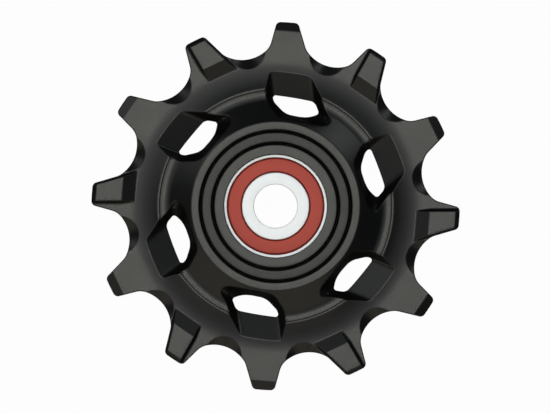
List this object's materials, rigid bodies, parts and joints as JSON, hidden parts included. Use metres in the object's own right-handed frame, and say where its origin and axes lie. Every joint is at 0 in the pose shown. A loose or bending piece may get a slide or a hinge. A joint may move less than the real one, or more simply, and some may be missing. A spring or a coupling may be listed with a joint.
{
  "type": "derailleur jockey wheel",
  "caption": "Toothed jockey wheel in moulded nylon with narrow and wide teeth in turn, slanted windows and a sealed ball bearing in its hub.",
  "frame": {"origin": "centre of the bore, halfway between the wheel's two faces", "axes": "+Z along the spin axis towards the front face, +Y through the middle of a narrow tooth"},
  "size_m": [0.0508, 0.0508, 0.0064],
  "materials": {
    "nylon": "satin, glass-filled",
    "bearing_steel": "ground",
    "seal_rubber": "satin red",
    "cage_nylon": "natural"
  },
  "bodies": {
    "inner_ring": {"inner_ring": "bearing_steel"},
    "wheel": {"pulley_body": "nylon", "outer_ring": "bearing_steel", "front_seal": "seal_rubber", "rear_seal": "seal_rubber"},
    "ball_cage": {"ball_cage": "cage_nylon"},
    "ball_1": {"ball_1": "bearing_steel"},
    "ball_2": {"ball_2": "bearing_steel"},
    "ball_3": {"ball_3": "bearing_steel"},
    "ball_4": {"ball_4": "bearing_steel"},
    "ball_5": {"ball_5": "bearing_steel"},
    "ball_6": {"ball_6": "bearing_steel"},
    "ball_7": {"ball_7": "bearing_steel"},
    "ball_8": {"ball_8": "bearing_steel"}
  },
  "joints": [
    {"name": "wheel_spin", "type": "hinge", "parent": "inner_ring", "child": "wheel", "pos_m": [0, 0, 0], "axis": [0, 0, 1], "continuous": true},
    {"name": "cage_orbit", "type": "hinge", "parent": "inner_ring", "child": "ball_cage", "pos_m": [0, 0, 0], "axis": [0, 0, 1], "continuous": true},
    {"name": "ball_1_roll", "type": "hinge", "parent": "ball_cage", "child": "ball_1", "pos_m": [0, 0.00525, 0], "axis": [0, 0, 1], "continuous": true},
    {"name": "ball_2_roll", "type": "hinge", "parent": "ball_cage", "child": "ball_2", "pos_m": [-0.00371, 0.00371, 0], "axis": [0, 0, 1], "continuous": true},
    {"name": "ball_3_roll", "type": "hinge", "parent": "ball_cage", "child": "ball_3", "pos_m": [-0.00525, 0, 0], "axis": [0, 0, 1], "continuous": true},
    {"name": "ball_4_roll", "type": "hinge", "parent": "ball_cage", "child": "ball_4", "pos_m": [-0.00371, -0.00371, 0], "axis": [0, 0, 1], "continuous": true},
    {"name": "ball_5_roll", "type": "hinge", "parent": "ball_cage", "child": "ball_5", "pos_m": [0, -0.00525, 0], "axis": [0, 0, 1], "continuous": true},
    {"name": "ball_6_roll", "type": "hinge", "parent": "ball_cage", "child": "ball_6", "pos_m": [0.00371, -0.00371, 0], "axis": [0, 0, 1], "continuous": true},
    {"name": "ball_7_roll", "type": "hinge", "parent": "ball_cage", "child": "ball_7", "pos_m": [0.00525, 0, 0], "axis": [0, 0, 1], "continuous": true},
    {"name": "ball_8_roll", "type": "hinge", "parent": "ball_cage", "child": "ball_8", "pos_m": [0.00371, 0.00371, 0], "axis": [0, 0, 1], "continuous": true}
  ],
  "couplings": [
    {"joint": "cage_orbit", "follows": "wheel_spin", "ratio": 0.61338},
    {"joint": "ball_1_roll", "follows": "wheel_spin", "ratio": 2.0916},
    {"joint": "ball_2_roll", "follows": "wheel_spin", "ratio": 2.0916},
    {"joint": "ball_3_roll", "follows": "wheel_spin", "ratio": 2.0916},
    {"joint": "ball_4_roll", "follows": "wheel_spin", "ratio": 2.0916},
    {"joint": "ball_5_roll", "follows": "wheel_spin", "ratio": 2.0916},
    {"joint": "ball_6_roll", "follows": "wheel_spin", "ratio": 2.0916},
    {"joint": "ball_7_roll", "follows": "wheel_spin", "ratio": 2.0916},
    {"joint": "ball_8_roll", "follows": "wheel_spin", "ratio": 2.0916}
  ]
}
